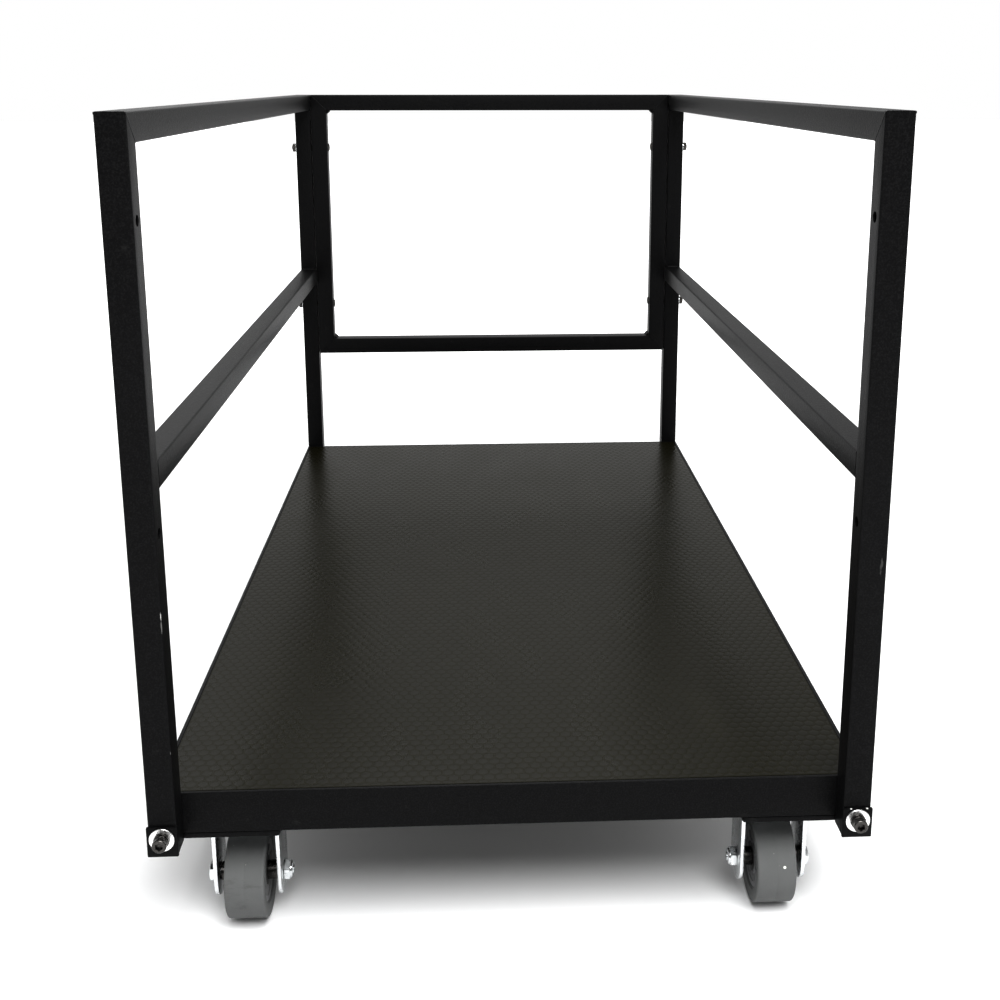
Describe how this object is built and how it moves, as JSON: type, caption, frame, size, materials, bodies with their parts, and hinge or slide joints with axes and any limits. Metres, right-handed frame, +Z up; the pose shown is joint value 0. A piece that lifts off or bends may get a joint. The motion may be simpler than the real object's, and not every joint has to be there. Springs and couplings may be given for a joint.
{
  "type": "platform luggage cart",
  "caption": "Flatbed luggage cart with tubular rails on three sides, an open front, an anti-slip deck, fixed front casters and swivelling rear casters.",
  "frame": {"origin": "on the floor under the middle of the cart", "axes": "+Z up, +X to the cart's right seen from the open front, +Y towards the closed end frame"},
  "size_m": [0.8374, 1.5126, 0.9575],
  "materials": {
    "powder_coat": "black powder coat, fine texture, satin, with small chips",
    "phenolic_panel": "plywood faced with a dark brown-black anti-slip film with a small hexagon relief",
    "zinc_plate": "bright zinc plate",
    "stainless_steel": "bright stainless washer",
    "black_oxide_steel": "black oxide, slightly oily sheen",
    "grey_rubber": "matt non-marking grey rubber",
    "hub_plastic": "moulded grey plastic"
  },
  "bodies": {
    "cart_frame": {"deck_panel": "phenolic_panel", "deck_angle_front": "powder_coat", "deck_angle_rear": "powder_coat", "deck_angle_left": "powder_coat", "deck_angle_right": "powder_coat", "cross_member_front": "powder_coat", "cross_member_front_middle": "powder_coat", "cross_member_rear_middle": "powder_coat", "cross_member_rear": "powder_coat", "corner_plate_front_left": "powder_coat", "corner_plate_front_right": "powder_coat", "corner_plate_rear_left": "powder_coat", "corner_plate_rear_right": "powder_coat", "side_left_front_post": "powder_coat", "side_left_rear_post": "powder_coat", "side_left_top_rail": "powder_coat", "side_left_mid_rail": "powder_coat", "side_right_front_post": "powder_coat", "side_right_rear_post": "powder_coat", "side_right_top_rail": "powder_coat", "side_right_mid_rail": "powder_coat", "foot_bolt_front_left": "black_oxide_steel", "foot_bolt_front_right": "black_oxide_steel", "foot_bolt_rear_left": "black_oxide_steel", "foot_bolt_rear_right": "black_oxide_steel", "foot_washer_front_left": "stainless_steel", "foot_washer_front_right": "stainless_steel", "foot_washer_rear_left": "stainless_steel", "foot_washer_rear_right": "stainless_steel", "end_frame_top_rail": "powder_coat", "end_frame_bottom_rail": "powder_coat", "end_frame_left_upright": "powder_coat", "end_frame_right_upright": "powder_coat", "end_frame_bolt_lower_left": "black_oxide_steel", "end_frame_bolt_lower_right": "black_oxide_steel", "end_frame_bolt_upper_left": "black_oxide_steel", "end_frame_bolt_upper_right": "black_oxide_steel", "end_frame_nut_lower_left": "black_oxide_steel", "end_frame_nut_lower_right": "black_oxide_steel", "end_frame_nut_upper_left": "black_oxide_steel", "end_frame_nut_upper_right": "black_oxide_steel", "rigid_fork_left": "zinc_plate", "rigid_fork_right": "zinc_plate", "axle_bolt_front_left": "zinc_plate", "axle_bolt_front_right": "zinc_plate", "swivel_plate_left": "zinc_plate", "swivel_plate_right": "zinc_plate"},
    "front_wheel_left": {"wheel_hub_front_left": "hub_plastic", "wheel_tyre_front_left": "grey_rubber"},
    "front_wheel_right": {"wheel_hub_front_right": "hub_plastic", "wheel_tyre_front_right": "grey_rubber"},
    "swivel_left": {"swivel_fork_left": "zinc_plate", "axle_bolt_rear_left": "zinc_plate"},
    "rear_wheel_left": {"wheel_hub_rear_left": "hub_plastic", "wheel_tyre_rear_left": "grey_rubber"},
    "swivel_right": {"swivel_fork_right": "zinc_plate", "axle_bolt_rear_right": "zinc_plate"},
    "rear_wheel_right": {"wheel_hub_rear_right": "hub_plastic", "wheel_tyre_rear_right": "grey_rubber"}
  },
  "joints": [
    {"name": "front_left_wheel_spin", "type": "hinge", "parent": "cart_frame", "child": "front_wheel_left", "pos_m": [-0.316, -0.6412, 0.054], "axis": [1, 0, 0], "continuous": true},
    {"name": "front_right_wheel_spin", "type": "hinge", "parent": "cart_frame", "child": "front_wheel_right", "pos_m": [0.316, -0.6412, 0.054], "axis": [1, 0, 0], "continuous": true},
    {"name": "rear_left_caster_swivel", "type": "hinge", "parent": "cart_frame", "child": "swivel_left", "pos_m": [-0.316, 0.6412, 0.12125], "axis": [0, 0, 1], "continuous": true},
    {"name": "rear_left_wheel_spin", "type": "hinge", "parent": "swivel_left", "child": "rear_wheel_left", "pos_m": [-0.316, 0.6712, 0.054], "axis": [1, 0, 0], "continuous": true},
    {"name": "rear_right_caster_swivel", "type": "hinge", "parent": "cart_frame", "child": "swivel_right", "pos_m": [0.316, 0.6412, 0.12125], "axis": [0, 0, 1], "continuous": true},
    {"name": "rear_right_wheel_spin", "type": "hinge", "parent": "swivel_right", "child": "rear_wheel_right", "pos_m": [0.316, 0.6712, 0.054], "axis": [1, 0, 0], "continuous": true}
  ]
}
